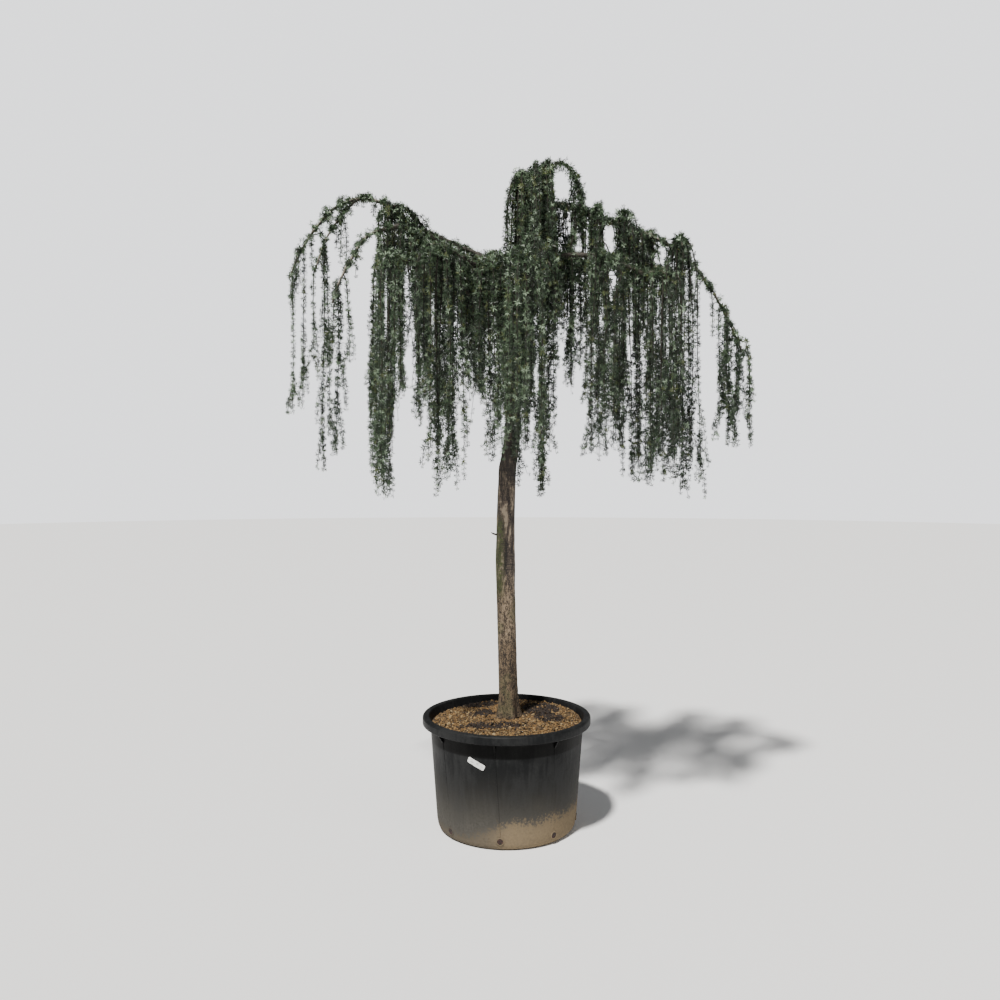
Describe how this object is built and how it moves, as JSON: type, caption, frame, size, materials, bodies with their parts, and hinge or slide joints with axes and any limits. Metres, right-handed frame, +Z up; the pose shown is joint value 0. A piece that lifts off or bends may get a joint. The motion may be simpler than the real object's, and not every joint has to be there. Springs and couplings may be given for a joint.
{
  "type": "potted weeping cedar tree",
  "caption": "Weeping cedar with a clear stem, arching limbs and long hanging curtains of blue-green needles, standing in a round black nursery pot.",
  "frame": {"origin": "centre of the pot's flat underside, on the ground", "axes": "+Z up the trunk, +X to the right and -Y to the front as the picture shows the tree"},
  "size_m": [2.2085, 1.4573, 2.9956],
  "materials": {
    "pot_plastic": "black blow-moulded plastic, dusty and stained brown towards the foot",
    "blank_label": "plain white plastic tag, unprinted",
    "bark_mulch": "loose ginger-brown chips of bark over potting mix",
    "trunk_bark": "grey-brown bark, rough and ridged low down, smoother with pale patches above",
    "bough_bark": "thin grey-brown bark, paler on top",
    "cedar_needles": "waxy blue-green needles in short tufts along hanging twigs"
  },
  "bodies": {
    "root": {"bough_back": "bough_bark", "bough_back_left": "bough_bark", "bough_back_right": "bough_bark", "bough_far_back": "bough_bark", "bough_far_left": "bough_bark", "bough_far_right": "bough_bark", "bough_front": "bough_bark", "bough_front_left": "bough_bark", "bough_leader": "bough_bark", "bough_leader_front": "bough_bark", "bough_leader_side": "bough_bark", "bough_left_arch": "bough_bark", "bough_left_back": "bough_bark", "bough_left_front": "bough_bark", "bough_left_low_arch": "bough_bark", "bough_left_low_rise": "bough_bark", "bough_left_middle": "bough_bark", "bough_left_rise": "bough_bark", "bough_left_side": "bough_bark", "bough_right_arch": "bough_bark", "bough_right_front": "bough_bark", "bough_right_front_side": "bough_bark", "bough_right_inner": "bough_bark", "bough_right_middle": "bough_bark", "bough_right_outer": "bough_bark", "bough_right_rear": "bough_bark", "bough_right_rise": "bough_bark", "foliage_back": "cedar_needles", "foliage_back_left": "cedar_needles", "foliage_back_right": "cedar_needles", "foliage_behind_trunk": "cedar_needles", "foliage_far_back": "cedar_needles", "foliage_far_left": "cedar_needles", "foliage_far_right": "cedar_needles", "foliage_front": "cedar_needles", "foliage_front_left": "cedar_needles", "foliage_front_of_trunk": "cedar_needles", "foliage_front_right": "cedar_needles", "foliage_leader_front": "cedar_needles", "foliage_leader_side": "cedar_needles", "foliage_leader_tip": "cedar_needles", "foliage_left_back": "cedar_needles", "foliage_left_front": "cedar_needles", "foliage_left_inner": "cedar_needles", "foliage_left_low": "cedar_needles", "foliage_left_middle": "cedar_needles", "foliage_left_tip": "cedar_needles", "foliage_right_front": "cedar_needles", "foliage_right_front_side": "cedar_needles", "foliage_right_inner": "cedar_needles", "foliage_right_middle": "cedar_needles", "foliage_right_outer": "cedar_needles", "foliage_right_rear": "cedar_needles", "foliage_right_tip": "cedar_needles", "label": "blank_label", "pot": "pot_plastic", "soil": "bark_mulch", "trunk": "trunk_bark"}
  },
  "joints": []
}
